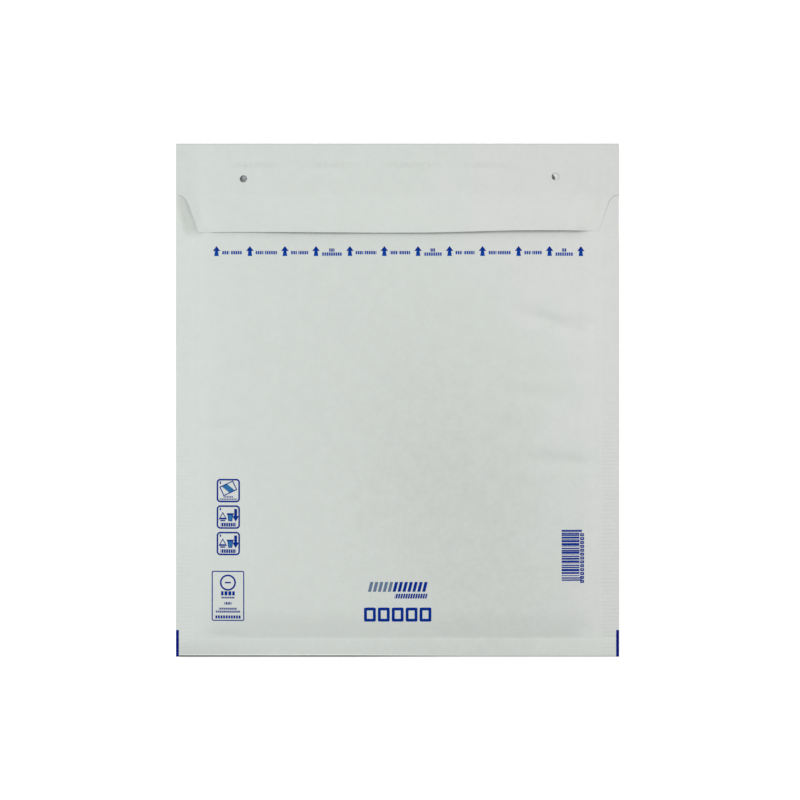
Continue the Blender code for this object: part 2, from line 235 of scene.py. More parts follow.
def on_sheet(x, run):
    """Where the outer face lies, once folded, at each place on the flat sheet."""
    front_y, back_y = MOUTH_Y - run, BOTTOM_FOLD_Y + run - BACK_RUN
    flap_y = TOP_FOLD_Y - run + FLAP_RUN
    bottom_turn, top_turn = (run - FRONT_RUN) / FOLD_RADIUS, (run - TOP_RUN) / FOLD_RADIUS
    stretches = {
        FRONT_RUN: np.stack((x, front_y, front_height(x, front_y)), axis=1),
        BACK_RUN: half_round(x, bottom_turn, BOTTOM_FOLD_Y, -1, FOLD_RADIUS),
        TOP_RUN: np.stack((x, back_y, back_height(x, back_y)), axis=1),
        FLAP_RUN: half_round(x, top_turn, TOP_FOLD_Y, 1, FOLD_RADIUS),
    }
    flap = np.stack((x, flap_y, flap_height(x, flap_y)), axis=1)
    within = [(run <= end)[:, None] for end in stretches]
    return np.select(within, list(stretches.values()), flap)


def outward(surface, x, run, step=0.01 * MM):
    """Unit normals of a folded surface."""
    across = surface(x + step, run) - surface(x - step, run)
    along = surface(x, run - step) - surface(x, run + step)
    found = np.cross(across, along)
    return found / np.linalg.norm(found, axis=1, keepdims=True)


def evenly(first, last, pitch):
    """Places from first to last, about pitch apart."""
    return np.linspace(first, last, max(1, round(abs(last - first) / pitch)) + 1)


def joined(*stretches):
    """Stretches of places, end to end, with each shared end once."""
    return np.concatenate([stretches[0], *(stretch[1:] for stretch in stretches[1:])])


SHOULDER_PITCH, SEAM_PITCH = 1.5 * MM, 1.25 * MM


def across_padding(edge, pitch):
    """Places across the envelope, closer together over its shoulders."""
    seam = HALF_WIDTH - SIDE_SEAM
    level = seam - SIDE_SHOULDER
    right = joined(evenly(level, seam, SHOULDER_PITCH), evenly(seam, edge, SEAM_PITCH))
    return joined(-right[::-1], evenly(-level, level, pitch), right)


def coordinates(piece):
    """The places of a piece's points, one row each."""
    place = np.empty(3 * len(piece.data.vertices))
    piece.data.vertices.foreach_get("co", place)
    return place.reshape(-1, 3)


def move(piece, place):
    """Puts a piece's points at new places."""
    piece.data.vertices.foreach_set("co", place.ravel())
    piece.data.update()


def choose(piece):
    """Makes a piece the only one that operators act on."""
    bpy.ops.object.select_all(action="DESELECT")
    piece.select_set(True)
    bpy.context.view_layer.objects.active = piece


def plate(name, columns, rows, thickness):
    """A level plate with grid lines at columns and rows, its upper face at height 0."""
    across, along = len(columns) - 1, len(rows) - 1
    bpy.ops.mesh.primitive_grid_add(x_subdivisions=across, y_subdivisions=along, size=1)
    made = bpy.context.object
    made.name = made.data.name = name
    place = coordinates(made)
    place[:, 0] = columns[np.rint((place[:, 0] + 0.5) * across).astype(int)]
    place[:, 1] = rows[np.rint((place[:, 1] + 0.5) * along).astype(int)]
    move(made, place)
    bpy.ops.object.mode_set(mode="EDIT")
    bpy.ops.mesh.select_all(action="SELECT")
    bpy.ops.mesh.extrude_region_move(TRANSFORM_OT_translate={"value": (0, 0, -thickness)})
    bpy.ops.mesh.select_all(action="SELECT")
    bpy.ops.mesh.normals_make_consistent(inside=False)
    bpy.ops.object.mode_set(mode="OBJECT")
    return made


def map_flat(piece, thickness):
    """Keeps each point's place on the flat sheet as its UV, the inner face's a metre aside."""
    place = coordinates(piece)
    place[:, 0] += np.where(place[:, 2] < -thickness / 2, 1, 0)
    corners = np.empty(len(piece.data.loops), int)
    piece.data.loops.foreach_get("vertex_index", corners)
    layer = piece.data.uv_layers.new(name="flat")
    layer.uv.foreach_set("vector", place[corners, :2].ravel())


def smooth(piece, angle=30):
    """Shades a piece smooth, but for its edges sharper than angle degrees."""
    choose(piece)
    bpy.ops.object.shade_smooth_by_angle(angle=math.radians(angle))


# Below each notch the flap narrows: the radius of a round shoulder, then the slant of a side in
# degrees. Its free edge bows up towards each side: how far, and over what width from BOW_START.
NOTCHES = {-1: (6.8 * MM, 20.3), 1: (5.9 * MM, 18.4)}
FLAP_BOWS = {-1: (0.42 * MM, 90 * MM), 1: (1.25 * MM, 72 * MM)}
BOW_START = 10 * MM


def narrowed(side, below):
    """How far in from the side of the sheet the flap's edge lies, below the notch."""
    radius, slant = NOTCHES[side]
    slope = math.radians(slant)
    round_part = radius * (1 - math.sin(slope))
    level_off = radius - np.clip(below, 0, round_part)
    straight = np.maximum(below - round_part, 0) * math.tan(slope)
    return np.sqrt(radius**2 - level_off**2) + straight


# The mesh's rows lie closest round the folds, at the bottom band's upper edge and on the flap
PITCH, BACK_PITCH, BAND_PITCH = 2.1 * MM, 2.73 * MM, 1.5 * MM
CREASE_PITCH, FOLD_PITCH, FLAP_PITCH, FREE_PITCH = 0.6 * MM, 0.2 * MM, 1.3 * MM, 1.0 * MM
SHOULDER_RADIUS = 6 * MM
band_run = MOUTH_Y - BAND_Y
crease_start, crease_end = band_run - 3 * MM, band_run + 2 * MM
notch_run = FLAP_RUN + NOTCH_BELOW - FOLD_RADIUS
shoulder_turn = np.radians((0, 4, 9, 15, 22, 30, 40, 50, 60, 70))
shoulder_rows = notch_run + SHOULDER_RADIUS * (1 - np.cos(shoulder_turn))
runs = joined(
    evenly(0, crease_start, PITCH),
    evenly(crease_start, crease_end, CREASE_PITCH),
    evenly(crease_end, FRONT_RUN, BAND_PITCH),
    evenly(FRONT_RUN, BACK_RUN, FOLD_PITCH),
    evenly(BACK_RUN, BACK_RUN + BOTTOM_BAND, BAND_PITCH),
    evenly(BACK_RUN + BOTTOM_BAND, TOP_RUN, BACK_PITCH),
    evenly(TOP_RUN, FLAP_RUN, FOLD_PITCH),
    evenly(FLAP_RUN, notch_run, FLAP_PITCH),
    shoulder_rows,
    evenly(shoulder_rows[-1], SHEET_LENGTH, FREE_PITCH),
)
cover = plate("paper_cover_sheet", across_padding(HALF_WIDTH, PITCH), MOUTH_Y - runs, PAPER)
place = coordinates(cover)
run = MOUTH_Y - place[:, 1]
below_notch = share(run - notch_run, SHEET_LENGTH - notch_run)
for side, (bow, reach) in FLAP_BOWS.items():
    outward_x = np.maximum(place[:, 0] * side, 0)
    place[:, 0] -= side * outward_x / HALF_WIDTH * narrowed(side, run - notch_run)
    place[:, 1] += bow * below_notch * ease(outward_x - BOW_START, reach)
move(cover, place)

# Clasp holes in the flap, and the front panel's beneath them, a little out of line
HOLE_RADIUS, PUNCH_LENGTH, RIM_POINTS = 2.1 * MM, 4 * MM, 32
FLAP_HOLES = ((-83.1 * MM, 19.8 * MM), (85.3 * MM, 18.4 * MM))
FRONT_HOLE_SHIFTS = ((-0.3 * MM, 0.5 * MM), (-2.3 * MM, -0.9 * MM))
for (x, below), (shift_x, shift_y) in zip(FLAP_HOLES, FRONT_HOLE_SHIFTS, strict=True):
    in_flap = MOUTH_Y - FLAP_RUN - below + FOLD_RADIUS
    for hole_x, hole_y in ((x, in_flap), (x + shift_x, TOP_Y - below + shift_y)):
        bpy.ops.mesh.primitive_cylinder_add(
            vertices=RIM_POINTS,
            radius=HOLE_RADIUS,
            depth=PUNCH_LENGTH,
            location=(hole_x, hole_y, 0),
        )
        punch = bpy.context.object
        choose(cover)
        cut = cover.modifiers.new("punched", "BOOLEAN")
        cut.operation, cut.solver, cut.object = "DIFFERENCE", "EXACT", punch
        bpy.ops.object.modifier_apply(modifier=cut.name)
        bpy.data.objects.remove(punch)
rims = cover.modifiers.new("rims", "TRIANGULATE")
rims.min_vertices = 5
bpy.ops.object.modifier_apply(modifier=rims.name)
map_flat(cover, PAPER)
place = coordinates(cover)
x, run = place[:, 0], MOUTH_Y - place[:, 1]
move(cover, on_sheet(x, run) + outward(on_sheet, x, run) * place[:, 2:])
smooth(cover)
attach(cover, "root")
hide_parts("paper_cover")


class Wire:
    """A shader socket that Python's operators do sums on, with a Math node for each."""

    def __init__(self, tree, socket=None):
        self.tree, self.socket = tree, socket

    def node(self, kind, settings=None, sockets=None, output=0):
        """A node of any kind: its settings first, then the values or wires of its sockets."""
        made = self.tree.nodes.new(kind)
        for name, value in (settings or {}).items():
            setattr(made, name, value)
        for name, value in (sockets or {}).items():
            if isinstance(value, Wire):
                self.tree.links.new(value.socket, made.inputs[name])
            else:
                made.inputs[name].default_value = value
        return Wire(self.tree, made.outputs[output] if made.outputs else None)

    def output(self, name):
        """Another output of the same node."""
        return Wire(self.tree, self.socket.node.outputs[name])

    def maths(self, operation, *values, clamp=False):
        """A Math node on these values."""
        settings = {"operation": operation, "use_clamp": clamp}
        return self.node("ShaderNodeMath", settings, dict(enumerate(values)))

    def __add__(self, other):
        return self.maths("ADD", self, other)

    def __radd__(self, other):
        return self.maths("ADD", other, self)

    def __sub__(self, other):
        return self.maths("SUBTRACT", self, other)

    def __rsub__(self, other):
        return self.maths("SUBTRACT", other, self)

    def __mul__(self, other):
        return self.maths("MULTIPLY", self, other)

    def __rmul__(self, other):
        return self.maths("MULTIPLY", other, self)

    def __truediv__(self, other):
        return self.maths("DIVIDE", self, other)

    def __mod__(self, other):
        return self.maths("FLOORED_MODULO", self, other)

    def __abs__(self):
        return self.maths("ABSOLUTE", self)

    def least(self, other):
        return self.maths("MINIMUM", self, other)

    def most(self, other):
        return self.maths("MAXIMUM", self, other)

    def held(self):
        """The same, held between 0 and 1."""
        return self.maths("ADD", self, 0.0, clamp=True)

    def ramp(self, start, end):
        """A change from 0 at start to 1 at end, level beyond them."""
        return ((self - start) / (end - start)).held()

    def hump(self, middle, half_width):
        """1 at the middle, falling to 0 at half_width on both sides of it."""
        return (1 - abs(self - middle) / half_width).held()

    def mix(self, first, second):
        """The colour from first to second that this share gives."""
        sockets = {0: self, 6: first, 7: second}
        return self.node("ShaderNodeMix", {"data_type": "RGBA"}, sockets, output=2)

    def noise(self, size, detail=2.0, roughness=0.5):
        """A soft pattern from 0 to 1 over this place, with features of about that size."""
        sockets = {"Vector": self, "Scale": 1 / size, "Detail": detail, "Roughness": roughness}
        return self.node("ShaderNodeTexNoise", {}, sockets)


def new_material(name):
    """A material with nothing in its tree yet."""
    made = bpy.data.materials.new(name)
    made.use_nodes = True
    made.node_tree.nodes.clear()
    return made, Wire(made.node_tree)


def finish(tree, sockets):
    """Closes a material with a Principled shader."""
    shader = tree.node("ShaderNodeBsdfPrincipled", {}, sockets)
    tree.node("ShaderNodeOutputMaterial", {}, {"Surface": shader})


paper, tree = new_material("white_kraft_paper")
flat = tree.node("ShaderNodeUVMap", {"uv_map": "flat"})
split = flat.node("ShaderNodeSeparateXYZ", {}, {0: flat})
u, v = split / MM, split.output("Y") / MM

# The print, in one blue ink, is laid out in millimetres from the middle of the front panel: a row
# of arrows under the flap, signs and a framed panel on the left, a bar pattern on the right, and
# stripes, a size field and two edge marks below. A shape is how far inside its outline a point is.


def block(across, along, width, height):
    """An upright rectangle around 0."""
    return (width / 2 - abs(across)).least(height / 2 - abs(along))


def round_block(across, along, width, height, corner):
    """A rectangle around 0 with round corners."""
    beside = abs(across) - (width / 2 - corner)
    above = abs(along) - (height / 2 - corner)
    outer = beside.most(0.0) * beside.most(0.0) + above.most(0.0) * above.most(0.0)
    return corner - outer.maths("SQRT", outer) - beside.most(above).least(0.0)


def outlined(shape, stroke):
    """The outline of a shape, drawn inside it."""
    return stroke / 2 - abs(shape - stroke / 2)


def union(shapes):
    """All of several shapes together."""
    return functools.reduce(Wire.most, shapes)


def nearest(spot, centres):
    """How far each point is from the nearest of several places along a line."""
    return functools.reduce(Wire.least, [abs(spot - centre) for centre in centres])


def dashes(across, pitch, dash):
    """Upright dashes, one to each pitch."""
    return dash / 2 - abs(across % pitch - pitch / 2)


def inked(shape, cover=1.0, edge=0.14):
    """How much ink a shape has, with a soft edge."""
    return shape.ramp(-edge / 2, edge / 2) * cover


ARROWS_X = (-97.8, -79.7, -60.8, -44.0, -25.7, -7.1, 11.1, 28.1, 45.9, 65.4, 82.1, 99.1)
ARROW_TIP_Y, ARROW_NECK_Y, ARROW_FOOT_Y = 83.2, 80.5, 77.8
beside = nearest(u, ARROWS_X)
head = ((ARROW_TIP_Y - v) * 0.76 - beside).least(v - ARROW_NECK_Y)
stem = ((ARROW_NECK_Y - v) * 0.15 + 0.85 - beside).least(v - ARROW_FOOT_Y)
stem = stem.least(ARROW_NECK_Y + 0.1 - v)
arrows = head.most(stem)

# Between the arrows, dashes in place of words, on one line or on two. A run of them has a middle,
# a half width, and how far left of its middle it is broken into two words: beyond its end if not.
TWO_LINES = (3, 6, 10)
CAPTION_SHIFT, CAPTION_MARGIN, SHORT_WORD, UNBROKEN = 0.6, 3.7, 1.4, 9
BREAK_SHARE, HALF_BREAK, HALF_LINE = 0.2, 0.4, 0.9
single, upper, lower = [], [], []
for i, (left, right) in enumerate(zip(ARROWS_X, ARROWS_X[1:])):
    middle, half = (left + right) / 2 - CAPTION_SHIFT, (right - left) / 2 - CAPTION_MARGIN
    if i in TWO_LINES:
        upper.append((middle, SHORT_WORD, UNBROKEN))
        lower.append((middle, half, UNBROKEN))
    else:
        single.append((middle, half, BREAK_SHARE * half))
captions = []
for line_y, words in ((79.6, single), (81.0, upper), (78.8, lower)):
    line = union(
        (half - abs(u - middle)).least(abs(u - middle + broken) - HALF_BREAK)
        for middle, half, broken in words
    )
    captions.append(line.least(HALF_LINE - abs(v - line_y)))
captions = union(captions).least(dashes(u, 1.2, 0.9))

# Three sorting signs in rounded frames, one above the other: a folded sheet, then twice a triangle
# and a bin with an arrow beside it
SIGN_X, SIGN_Y, SIGN_PITCH, SIGN_SIZE = -91.4, -63.2, 14.3, 12.7
sign_u = u - SIGN_X
sign_v = (v - (SIGN_Y - SIGN_PITCH * 1.5)) % SIGN_PITCH - SIGN_PITCH / 2
in_signs = block(sign_u, v - SIGN_Y, 14, 3 * SIGN_PITCH)
first_sign = (v - (SIGN_Y + SIGN_PITCH / 2)).least(in_signs)
lower_signs = in_signs.least(0 - first_sign)
frames = outlined(round_block(sign_u, sign_v, SIGN_SIZE, SIGN_SIZE, 2.0), 0.9).least(in_signs)
SHEET_LEAN, SHEET_V = math.radians(25), 1.2
leaning_u = sign_u * math.cos(SHEET_LEAN) + (sign_v - SHEET_V) * math.sin(SHEET_LEAN)
leaning_v = (sign_v - SHEET_V) * math.cos(SHEET_LEAN) - sign_u * math.sin(SHEET_LEAN)
folded_sheet = block(leaning_u, leaning_v, 8.2, 5.6)
sheet_outline = outlined(folded_sheet, 0.55).least(first_sign)
sheet_patch = folded_sheet.least(1.6 - abs(leaning_u + leaning_v * 0.5)).least(first_sign)
small_words = block(sign_u, sign_v + 3.4, 5.2, 0.95).most(block(sign_u, sign_v + 4.7, 9.6, 0.95))
small_words = small_words.least(dashes(sign_u, 0.9, 0.68)).least(first_sign)
triangle = (2.1 - abs(sign_u + 3.0) * 1.75 - (sign_v - 0.7)).least(sign_v + 1.3)
rim = block(sign_u - 1.1, sign_v - 1.7, 3.8, 0.8)
sorting_bin = (1.4 + sign_v * 0.14 - abs(sign_u - 1.1)).least(1.9 - abs(sign_v + 0.4))
drop = (0.8 - abs(sign_u - 4.0)).least(2.2 - abs(sign_v - 2.2))
drop = drop.most((sign_v * 0.6 + 1.5 - abs(sign_u - 4.0)).least(0.6 - sign_v))
sign_marks = union((outlined(triangle, 0.95), drop, rim, outlined(sorting_bin, 0.4)))
corner_tick = block(sign_u + 4.3, sign_v - 4.3, 0.7, 1.4).least(in_signs)
sign_marks = sign_marks.least(lower_signs).most(corner_tick)
sign_bins = sorting_bin.least(lower_signs)
sign_words = block(sign_u, sign_v + 4.1, 8.4, 2.0).least(dashes(sign_u, 1.25, 0.98))
sign_words = sign_words.most(block(sign_u + 3.0, sign_v + 1.9, 2.8, 0.7)).least(lower_signs)

# A framed panel below them, with a barred ring and lines of dashes. Each line has its height in
# the panel, its width, its own height, and the pitch and the length of its dashes.
PANEL_X, PANEL_Y = -91.6, -105.8
RING_V, RING_RADIUS, RING_HALF_STROKE = 7.2, 3.9, 0.46
panel_u, panel_v = u - PANEL_X, v - PANEL_Y
panel_frame = outlined(round_block(panel_u, panel_v, 17.7, 27.1, 1.0), 0.6)
from_ring = panel_u * panel_u + (panel_v - RING_V) * (panel_v - RING_V)
ring = RING_HALF_STROKE - abs(from_ring.maths("SQRT", from_ring) - RING_RADIUS)
ring = ring.most(block(panel_u, panel_v - RING_V, 3.2, 0.8))
PANEL_LINES = (
    (1.4, 7.4, 2.3, 2.1, 1.6),
    (-0.9, 7.4, 0.9, 0.9, 0.68),
    (-4.0, 3.8, 1.4, 1.25, 0.9),
    (-6.9, 9.8, 1.1, 1.1, 0.8),
    (-8.5, 13.6, 1.1, 1.1, 0.8),
    (-11.4, 13.8, 1.7, 1.4, 1.05),
)
panel_words = union(
    block(panel_u, panel_v - line_v, width, height).least(dashes(panel_u, pitch, dash))
    for line_v, width, height, pitch, dash in PANEL_LINES
)

# A bar pattern, with bars and gaps in modules, of which the outer two on each side are guard bars
# and reach further, and a column of small open blocks beside it
MODULE = 0.285
BARS = (2, 1, 2, 2, 3, 1, 3, 4, 1, 2, 2, 3, 1, 2, 3, 3, 1, 2, 2, 4, 3, 1, 2, 2)
GAPS = (1, 2, 1, 2, 2, 1, 2, 1, 3, 2, 1, 1, 3, 2, 2, 1, 3, 2, 2, 2, 3, 3, 2, 0)
BARS_TOP_Y, BARS_X, BARS_WIDTH, GUARD_EXTRA, INK_SPREAD = -70.2, 93.5, 9.7, 1.4, 0.09
bars, edge_y = [], BARS_TOP_Y
for bar, gap in zip(BARS, GAPS, strict=True):
    bars.append(bar * MODULE / 2 + INK_SPREAD - abs(v - (edge_y - bar * MODULE / 2)))
    edge_y -= (bar + gap) * MODULE
guard_bars = union(bars[:2] + bars[-2:])
guard_bars = guard_bars.least((BARS_WIDTH + GUARD_EXTRA) / 2 - abs(u - BARS_X - GUARD_EXTRA / 2))
bars = union(bars[2:-2]).least(BARS_WIDTH / 2 - abs(u - BARS_X)).most(guard_bars)
TALLY_X, TALLY_Y, TALLY_PITCH, TALLY_LENGTH = 99.8, -85.4, 2.1, 27.3
tally_v = (v - TALLY_Y - TALLY_PITCH / 2) % TALLY_PITCH - TALLY_PITCH / 2
tally = outlined(block(u - TALLY_X, tally_v, 2.1, 1.65), 0.68)
tally = tally.least(TALLY_LENGTH / 2 - abs(v - TALLY_Y))

# A band of slanted stripes, a finer one under its right half, and the size field's open boxes
STRIPES_Y, FINE_Y, STRIPE_LEAN, STRIPES_START, PALE_END = -100.9, -105.9, 0.25, -15.8, -2.2
slanted = u - (v - STRIPES_Y) * STRIPE_LEAN
stripes = block(slanted - 0.2, v - STRIPES_Y, 31.9, 5.3)
stripes = stripes.least(dashes(slanted - STRIPES_START, 2.66, 1.7))
pale_stripes, dark_stripes = stripes.least(PALE_END - slanted), stripes.least(slanted - PALE_END)
fine_stripes = block(slanted - 8.5, v - FINE_Y, 17.4, 2.6)
fine_stripes = fine_stripes.least(dashes(slanted - STRIPES_START, 1.33, 0.98))
SIZE_X, SIZE_Y, SIZE_PITCH = 0.1, -115.9, 7.5
size_u = (u - SIZE_X - SIZE_PITCH / 2) % SIZE_PITCH - SIZE_PITCH / 2
size_boxes = outlined(round_block(size_u, v - SIZE_Y, 6.4, 7.7, 0.8), 1.6)
size_boxes = size_boxes.least(block(u - SIZE_X, v - SIZE_Y, 5 * SIZE_PITCH, 9))

# Edge marks where the web was cut, wrapped round the bottom fold
EDGE_MARK_X, EDGE_MARK_REACH = 118.4, 14.9
fold_v = (MOUTH_Y - (FRONT_RUN + BACK_RUN) / 2) / MM
edge_marks = (abs(u) - EDGE_MARK_X).least(EDGE_MARK_REACH - abs(v - fold_v))
edge_marks = edge_marks.least(HALF_WIDTH / MM + 1 - abs(u))

top_print = (arrows, captions)
sign_print = (frames, sheet_outline, sheet_patch, sign_marks, sign_bins, sign_words)
panel_print = (panel_frame, ring, panel_words)
low_print = (bars, tally, pale_stripes, dark_stripes, fine_stripes, size_boxes, edge_marks)
ink = inked(union((*top_print, *sign_print, *panel_print, *low_print)))
ink = ink.most(inked(small_words, 0.8))

# The ink is thin in places and at the arrows' feet, and screened to a tint in a few shapes
DARK_INK, BRIGHT_INK = (0.0005, 0.003, 0.16, 1), (0.001, 0.055, 0.33, 1)
LIGHT_TINT, GREY_TINT = (0.03, 0.15, 0.36, 1), (0.12, 0.18, 0.27, 1)
thin_ink = (flat.noise(1.2 * MM) - 0.5) * 1.2 + 0.4 - inked(edge_marks, 0.3)
thin_ink = (thin_ink + v.hump(78.6, 3) * 0.6).held()
ink_colour = inked(pale_stripes).mix(thin_ink.mix(DARK_INK, BRIGHT_INK), GREY_TINT)
tinted_shapes = inked(sheet_patch.most(sign_bins)) - inked(sheet_outline.most(sign_marks))
ink_colour = tinted_shapes.held().mix(ink_colour, LIGHT_TINT)

# The paper is a cool white, with a painted warm tint to the right that stands for the warmer
# light there. Its places are also reckoned from the middle of the bottom fold, and down the flap
# from the top fold.
COOL_WHITE, WARM_WHITE = (0.643, 0.687, 0.659, 1), (0.662, 0.687, 0.671, 1)
flap_v = (MOUTH_Y - FLAP_RUN + FOLD_RADIUS) / MM
from_fold, from_top = abs(v - fold_v), flap_v - v
patchy = flat.noise(30 * MM)
warm_from = 78 - from_fold.ramp(160, 230) * 65
warm_light_tint = ((u - warm_from) / 34 + (patchy - 0.5) * 3).held().least(from_fold.ramp(11, 15))
paper_white = warm_light_tint.mix(COOL_WHITE, WARM_WHITE)

# Its places of another tone, most of them painted light and shade. First a leaning oval below
# the middle, painted darker as shade, where clouds of four sizes are strongest too
OVAL_X, OVAL_Y, OVAL_LENGTH, OVAL_WIDTH, OVAL_LEAN = 40, -65, 105, 62, math.radians(67.85)
CLOUDS = {8 * MM: 0.05, 3.2 * MM: 0.045, 1.5 * MM: 0.04, 0.7 * MM: 0.03}
off_x, off_y = u - OVAL_X, v - OVAL_Y
along = off_x * math.cos(OVAL_LEAN) - off_y * math.sin(OVAL_LEAN)
across = off_x * math.sin(OVAL_LEAN) + off_y * math.cos(OVAL_LEAN)
from_middle = along * along / OVAL_LENGTH**2 + across * across / OVAL_WIDTH**2
shade_oval = from_middle.maths("EXPONENT", 0 - from_middle)
clouds = sum((flat.noise(size) - 0.5) * strength for size, strength in CLOUDS.items())

# Dark specks, one to a cell and each of its own size
SPECK_PITCH = 55
cells = flat.node("ShaderNodeTexVoronoi", {}, {"Vector": flat, "Scale": 1 / (SPECK_PITCH * MM)})
cell = cells.output("Color").node("ShaderNodeSeparateXYZ", {}, {0: cells.output("Color")})
speck_radius = cell * 0.5 + 0.2
speck = (1.4 - cells * SPECK_PITCH / speck_radius).held()

# Painted shade over the middle of the padding and on the side seams, most on the right one, a
# painted highlight on the padding's shoulders, and the side edges a little darker
below_top = from_top.ramp(0, -1)
shade_over_film = abs(u).ramp(110, 70).least(from_fold.ramp(11, 19)).least(below_top)
shoulder_highlight = abs(u).hump(106, 7).least(from_fold.ramp(11, 12))
seam = abs(u).ramp(110, 111).least(below_top).least(from_fold.ramp(10.5, 11.5))
trimmed_edge = abs(u).ramp(119.1, 120.1)

# Painted shade towards the bottom fold and beside it; the band beside it is darker on its left and
# lighter on its right, with a painted highlight along its upper edge; along the fold a painted
# shadow line, darkest on the left, with a painted highlight line beside it
shade_towards_fold, shade_beside_fold = from_fold.ramp(60, 0), from_fold.ramp(9, 0)
band, band_edge_highlight = from_fold.ramp(10.9, 10.4), from_fold.hump(10.1, 1.1)
fold_shadow, fold_highlight_line = from_fold.ramp(1.32, 1.03), from_fold.hump(1.52, 0.4)
band_right, fold_lines_left, low_left = u.ramp(20, 80), u.ramp(36, -24), u.ramp(-70, -115)

# The flap: painted darker than the panel as shade, most near its top fold and on its right, and
# lighter over its strips. A painted highlight at the strips' ends, painted shade along the top
# fold and in ripples beside it, and smudges of an inner print that shows through
SMUDGES_X, SMUDGE_BELOW = (-77.5, -35.8, 7.6, 49.2), 12.2
flap, flap_lower, flap_right = from_top.ramp(-0.9, 0.1), from_top.ramp(0, 20), u.ramp(0, 60)
over_strip = from_top.ramp(27.4, 28.6)
strip_end_highlight = abs(u).hump(103, 14) * from_top.ramp(27, 39)
top_fold_shade = abs(from_top).ramp(1.33, 0.5)
ripple_shade = (from_top % 1.4).hump(0.7, 1 / 3) * from_top.hump(4.1, 2)
smudge = nearest(u, SMUDGES_X).ramp(17, 7) * abs(from_top - SMUDGE_BELOW).ramp(2.4, 0.8)
smudge = smudge * flat.noise(1.8 * MM).ramp(0.3, 0.7)

# Painted shadow on the front panel below the flap's free edge and beside its left slant
shadow_below_free_edge = v.hump(90.2, 3.4) * abs(u).ramp(104, 98)
shadow_beside_slant = abs(u + 112.5 + (v - 100) * 0.21).ramp(6, 3.7) * abs(v - 100.5).ramp(13, 8)

# How much each place is brighter than the rest, or duller where this is negative. Most of these
# are painted light and shade
TONES = (
    (patchy - 0.5, 0.03),
    (clouds, 1),
    (clouds * shade_oval, 0.8),
    # Painted shade in the oval
    (shade_oval, -0.09),
    (speck, -0.3),
    # Painted shade over the padding and the seams, a painted highlight on the shoulders
    (shade_over_film, -0.02),
    (shoulder_highlight, 0.02),
    (seam, -0.005),
    (seam * u, -0.00018),
    (trimmed_edge, -0.03),
    # Painted shade near the bottom fold, and painted highlight and shadow lines along it
    (shade_towards_fold, -0.032),
    (shade_beside_fold, -0.03),
    (shade_beside_fold * low_left, -0.1),
    (band, -0.014),
    (band * band_right, 0.03),
    (band_edge_highlight, 0.025),
    (fold_shadow, -0.06),
    (fold_shadow * fold_lines_left, -0.6),
    (fold_highlight_line * fold_lines_left, 0.33),
    # Painted shade on the flap, its top fold and ripples, a painted highlight at strip ends
    (flap, -0.048),
    (flap * flap_lower, 0.015),
    (flap * flap_right, -0.01),
    (flap * over_strip, 0.013),
    (strip_end_highlight, 0.045),
    (strip_end_highlight * u, 0.0002),
    (top_fold_shade, -0.08),
    (ripple_shade, -0.012),
    (smudge, -0.08),
    # Painted shadow below the flap's free edge and beside its left slant
    (shadow_below_free_edge, -0.05),
    (shadow_beside_slant, -0.115),
)
shade = 1 + sum(place * strength for place, strength in TONES)
paper_white = paper_white.node(
    "ShaderNodeVectorMath", {"operation": "SCALE"}, {0: paper_white, "Scale": shade}
)
base = ink.mix(paper_white, ink_colour)

# Ribs from the sealing bars run down both side seams, deeper on the right
RIB_PITCH, RIB_DEPTH = 2.06, 0.036
rib_depth = abs(u).ramp(110.2, 111.2) * v.ramp(25, -35) * v.ramp(-200, -199)
rib_depth = rib_depth * (RIB_DEPTH + u * 0.0001)
rib_turn = v * (math.tau / RIB_PITCH)
ribs = rib_turn.maths("SINE", rib_turn) * rib_depth
height = ribs + flat.noise(0.9 * MM, detail=3.0) * 0.012 + flat.noise(5 * MM) * 0.03
bump = flat.node("ShaderNodeBump", {}, {"Strength": 1.0, "Distance": MM, "Height": height})
finish(
    tree,
    {
        "Base Color": base,
        "Roughness": 0.66 + flat.noise(2 * MM) * 0.12 - ink * 0.18,
        "Specular IOR Level": 0.03,
        "Normal": bump,
    },
)
cover.data.materials.append(paper)

# Bubble liner: two-ply polyethylene bubble film, folded into a pocket with its bubbles towards the
# paper and its flat side inwards. Both sides are heat sealed to themselves and to the paper, and
# the pocket is open at the mouth.
FILM_BASE, FILM_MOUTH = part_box("bubble_liner")
FILM_TRIM, FILM_SEAL, POCKET_GAP = 0.3 * MM, 0.3 * MM, 0.5 * MM
POCKET_START, DOME = 4 * MM, 0.35
FILM_RADIUS, FILM_CORE = FILM_SEAL / 2, 0.02 * MM
FILM_FOLD_Y = FILM_BASE.y + FILM_RADIUS
FILM_FRONT_RUN = FILM_MOUTH.y - FILM_FOLD_Y
FILM_BACK_RUN = FILM_FRONT_RUN + math.pi * FILM_RADIUS
WELD_SHARE = 0.14


def film_ply(x, y, outer, side):
    """One ply of the pocket: its flat inner face, or its bubbled outer face."""
    middle = (front_height(x, y) + back_height(x, y)) / 2
    inside = HALF_WIDTH - SIDE_SEAM - abs(x)
    opened = ease(inside, POCKET_START) * ease(y - FILM_FOLD_Y, POCKET_START)
    inner = middle + side * (FILM_CORE + (POCKET_GAP / 2 - FILM_CORE) * opened)
    skin = front_height(x, y) if side > 0 else back_height(x, y)
    skin -= side * (PAPER + AIR)
    raised = WELD_SHARE + (1 - WELD_SHARE) * bubble(x, y) ** DOME
    weld = np.where(inside < 0, 1, raised)
    return np.stack((x, y, np.where(outer, inner + (skin - inner) * weld, inner)), axis=1)


def on_film(x, run, outer):
    """Where the film's faces lie, once folded, at each place on the flat film."""
    turn = (run - FILM_FRONT_RUN) / FILM_RADIUS
    radius = np.where(outer, FILM_RADIUS, FILM_CORE)
    front = film_ply(x, FILM_MOUTH.y - run, outer, 1)
    back = film_ply(x, FILM_FOLD_Y + run - FILM_BACK_RUN, outer, -1)
    fold = half_round(x, turn, FILM_FOLD_Y, -1, radius)
    within = [(run <= end)[:, None] for end in (FILM_FRONT_RUN, FILM_BACK_RUN)]
    return np.select(within, [front, fold], back)


